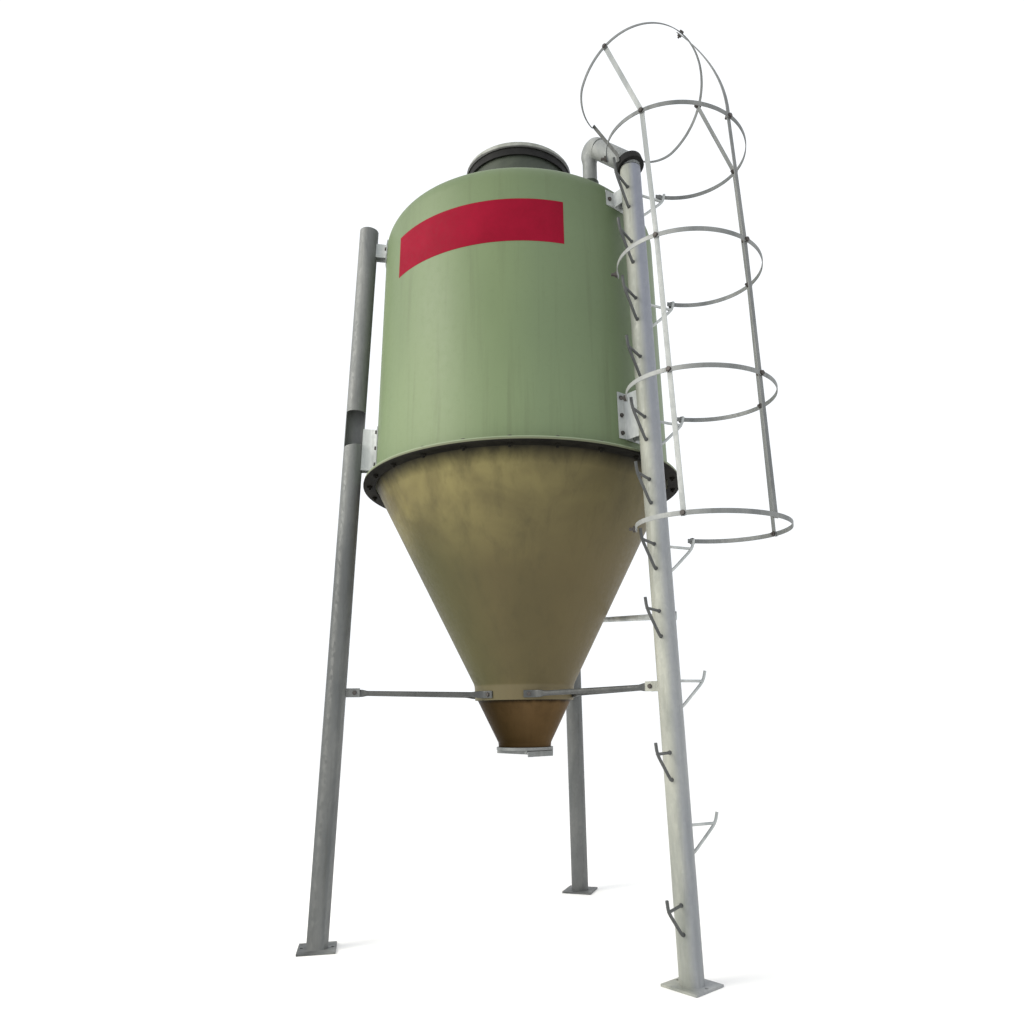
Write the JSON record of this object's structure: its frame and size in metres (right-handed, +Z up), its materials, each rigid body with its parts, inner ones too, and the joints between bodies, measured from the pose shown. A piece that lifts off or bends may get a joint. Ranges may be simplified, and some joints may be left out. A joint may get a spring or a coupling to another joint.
{
  "type": "feed silo",
  "caption": "Outdoor feed silo: round tapered barrel with a steep cone and slide-gate outlet on three leaning tube legs, with a caged step ladder, fill pipe and lidded neck.",
  "frame": {"origin": "centre of the bounding box's footprint, on the ground plane under the foot plates", "axes": "+Z up; +X from the barrel towards the ladder leg and its cage; +Y to the left of a person who stands at the ladder and looks out along +X"},
  "size_m": [2.3961, 1.9862, 4.2802],
  "materials": {
    "green_grp": "weathered pale green glass-fibre skin",
    "olive_grp": "stained olive glass-fibre skin",
    "brown_grp": "dark brown stained glass-fibre skin",
    "black_steel": "black painted steel ring",
    "zinc": "dull hot-dip galvanised steel",
    "grey_lid": "weathered grey moulding",
    "rubber": "black rubber"
  },
  "bodies": {
    "frame": {"brace_back_left": "zinc", "brace_back_right": "zinc", "brace_ladder_left": "zinc", "brace_ladder_right": "zinc", "brace_left_left": "zinc", "brace_left_right": "zinc", "cylinder_shell": "green_grp", "fill_pipe": "zinc", "flange_ring": "black_steel", "hoop_1": "zinc", "hoop_2": "zinc", "hoop_3": "zinc", "hoop_4": "zinc", "hoop_arm_far": "zinc", "hoop_arm_near": "zinc", "hoop_bracket_1": "zinc", "hoop_bracket_2": "zinc", "hoop_bracket_3": "zinc", "hoop_bracket_4": "zinc", "hopper_lower": "brown_grp", "hopper_upper": "olive_grp", "leg_back": "zinc", "leg_ladder": "zinc", "leg_left": "zinc", "lid_hinge": "zinc", "lower_bracket_back": "zinc", "lower_bracket_ladder": "zinc", "lower_bracket_left": "zinc", "neck": "green_grp", "outlet_ring": "zinc", "pipe_coupling": "rubber", "roof": "green_grp", "roof_inlet": "green_grp", "step_01": "zinc", "step_02": "zinc", "step_03": "zinc", "step_04": "zinc", "step_05": "zinc", "step_06": "zinc", "step_07": "zinc", "step_08": "zinc", "step_09": "zinc", "step_10": "zinc", "step_11": "zinc", "step_12": "zinc", "strap_a": "zinc", "strap_b": "zinc", "strap_c": "zinc", "tie_bar": "zinc", "top_hoop": "zinc", "upper_bracket_back": "zinc", "upper_bracket_ladder": "zinc", "upper_bracket_left": "zinc"},
    "lid": {"lid": "grey_lid", "lid_seal": "rubber"},
    "gate": {"slide_gate": "zinc"}
  },
  "joints": [
    {"name": "gate_slide", "type": "slide", "parent": "frame", "child": "gate", "axis": [1, 0, 0], "range_m": [0, 0.17]},
    {"name": "lid_hinge", "type": "hinge", "parent": "frame", "child": "lid", "pos_m": [-0.684, 0, 4.1], "axis": [0, -1, 0], "range_deg": [0, 110]}
  ]
}
